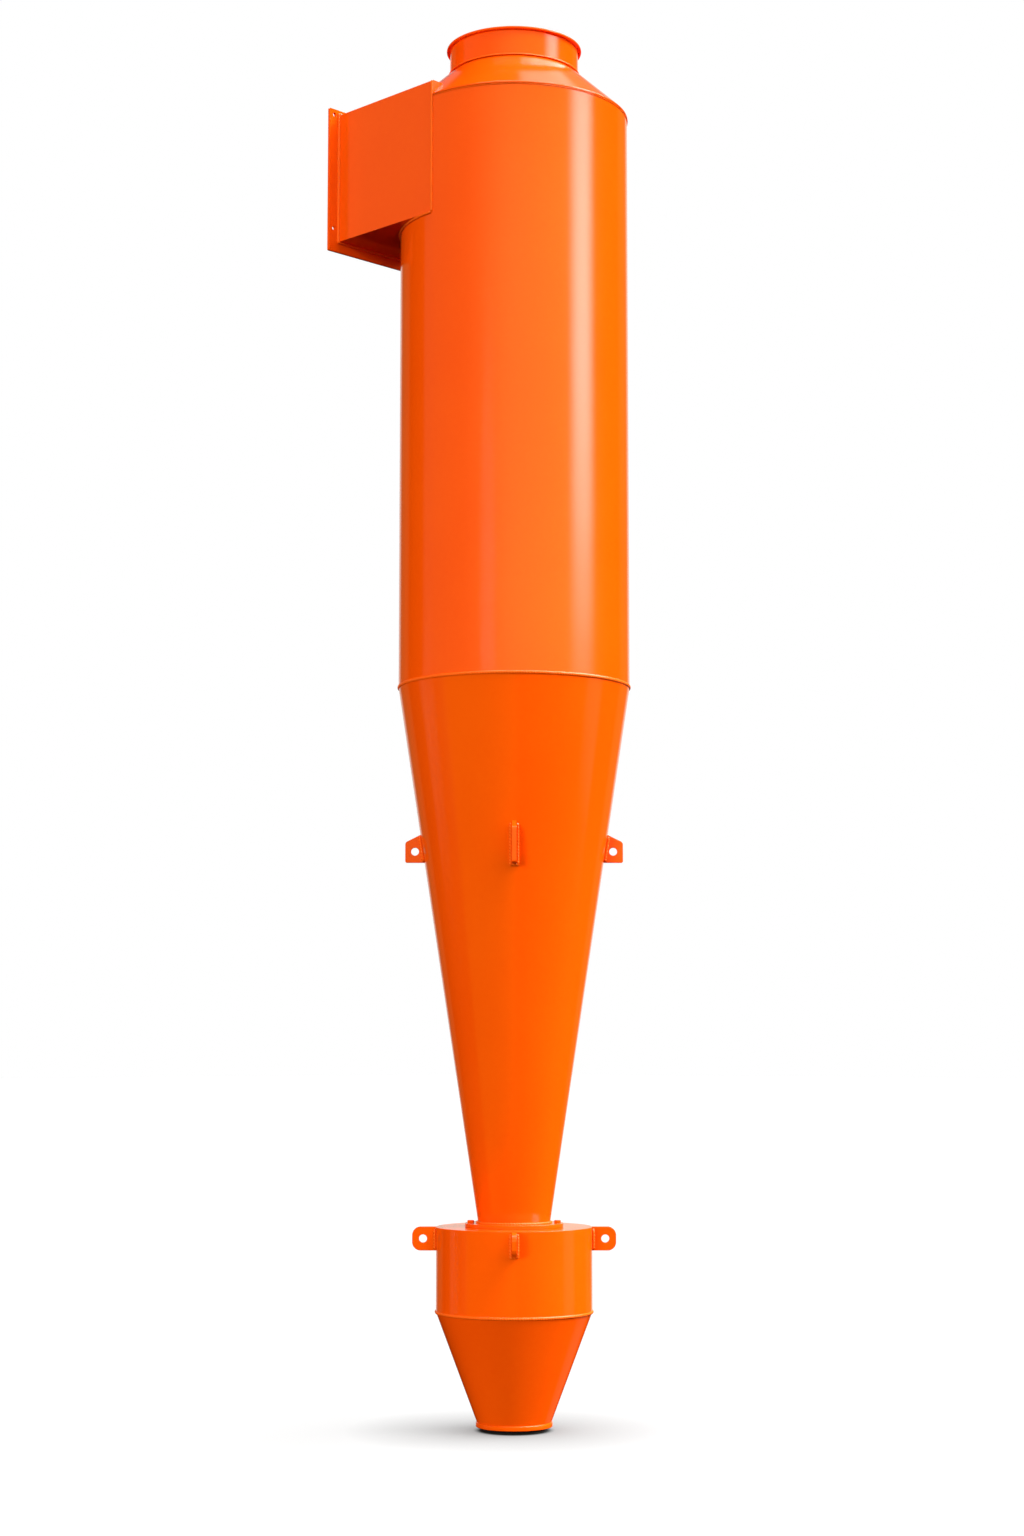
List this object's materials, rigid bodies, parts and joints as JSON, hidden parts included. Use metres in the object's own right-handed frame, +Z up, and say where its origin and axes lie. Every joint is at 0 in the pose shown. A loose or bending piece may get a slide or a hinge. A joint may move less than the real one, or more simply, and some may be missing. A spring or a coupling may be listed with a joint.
{
  "type": "cyclone separator",
  "caption": "Tall cyclone separator of orange painted sheet steel: tangential square inlet and round top outlet on a long barrel, a cone below it and a bolted dust hopper at the foot.",
  "frame": {"origin": "centre of the discharge ring's bottom face, on the vessel's axis", "axes": "+Z up along the vessel's axis; the inlet duct opens towards -X, with its outer wall in the plane y = -0.25; the lugs stand at 45, 135, 225 and 315 degrees from +X"},
  "size_m": [0.561, 0.531, 2.9961],
  "materials": {
    "shell_paint": "glossy orange enamel on sheet steel",
    "fitting_paint": "glossy orange enamel on steel plate",
    "weld_paint": "glossy orange enamel over weld beads"
  },
  "bodies": {
    "root": {"barrel": "shell_paint", "barrel_seam": "weld_paint", "cone": "shell_paint", "cone_flange": "fitting_paint", "cone_flange_bolts": "fitting_paint", "cone_flange_nuts": "fitting_paint", "cone_flange_weld": "weld_paint", "cone_lug_back": "fitting_paint", "cone_lug_front": "fitting_paint", "cone_lug_left": "fitting_paint", "cone_lug_right": "fitting_paint", "cone_lug_welds": "weld_paint", "discharge_ring": "fitting_paint", "hopper_cone": "shell_paint", "hopper_lid": "shell_paint", "hopper_lug_back": "fitting_paint", "hopper_lug_front": "fitting_paint", "hopper_lug_left": "fitting_paint", "hopper_lug_right": "fitting_paint", "hopper_lug_welds": "weld_paint", "hopper_seam": "weld_paint", "hopper_shell": "shell_paint", "inlet_body_weld": "weld_paint", "inlet_bottom": "shell_paint", "inlet_end_plate": "shell_paint", "inlet_flange_bottom": "fitting_paint", "inlet_flange_inner": "fitting_paint", "inlet_flange_outer": "fitting_paint", "inlet_flange_top": "fitting_paint", "inlet_flange_weld": "weld_paint", "inlet_floor_weld": "weld_paint", "inlet_inner_wall": "shell_paint", "inlet_outer_wall": "shell_paint", "inlet_top": "shell_paint", "outlet_pipe": "shell_paint", "outlet_rim": "fitting_paint", "outlet_weld": "weld_paint", "roof_cone": "shell_paint", "roof_seam": "weld_paint"}
  },
  "joints": []
}
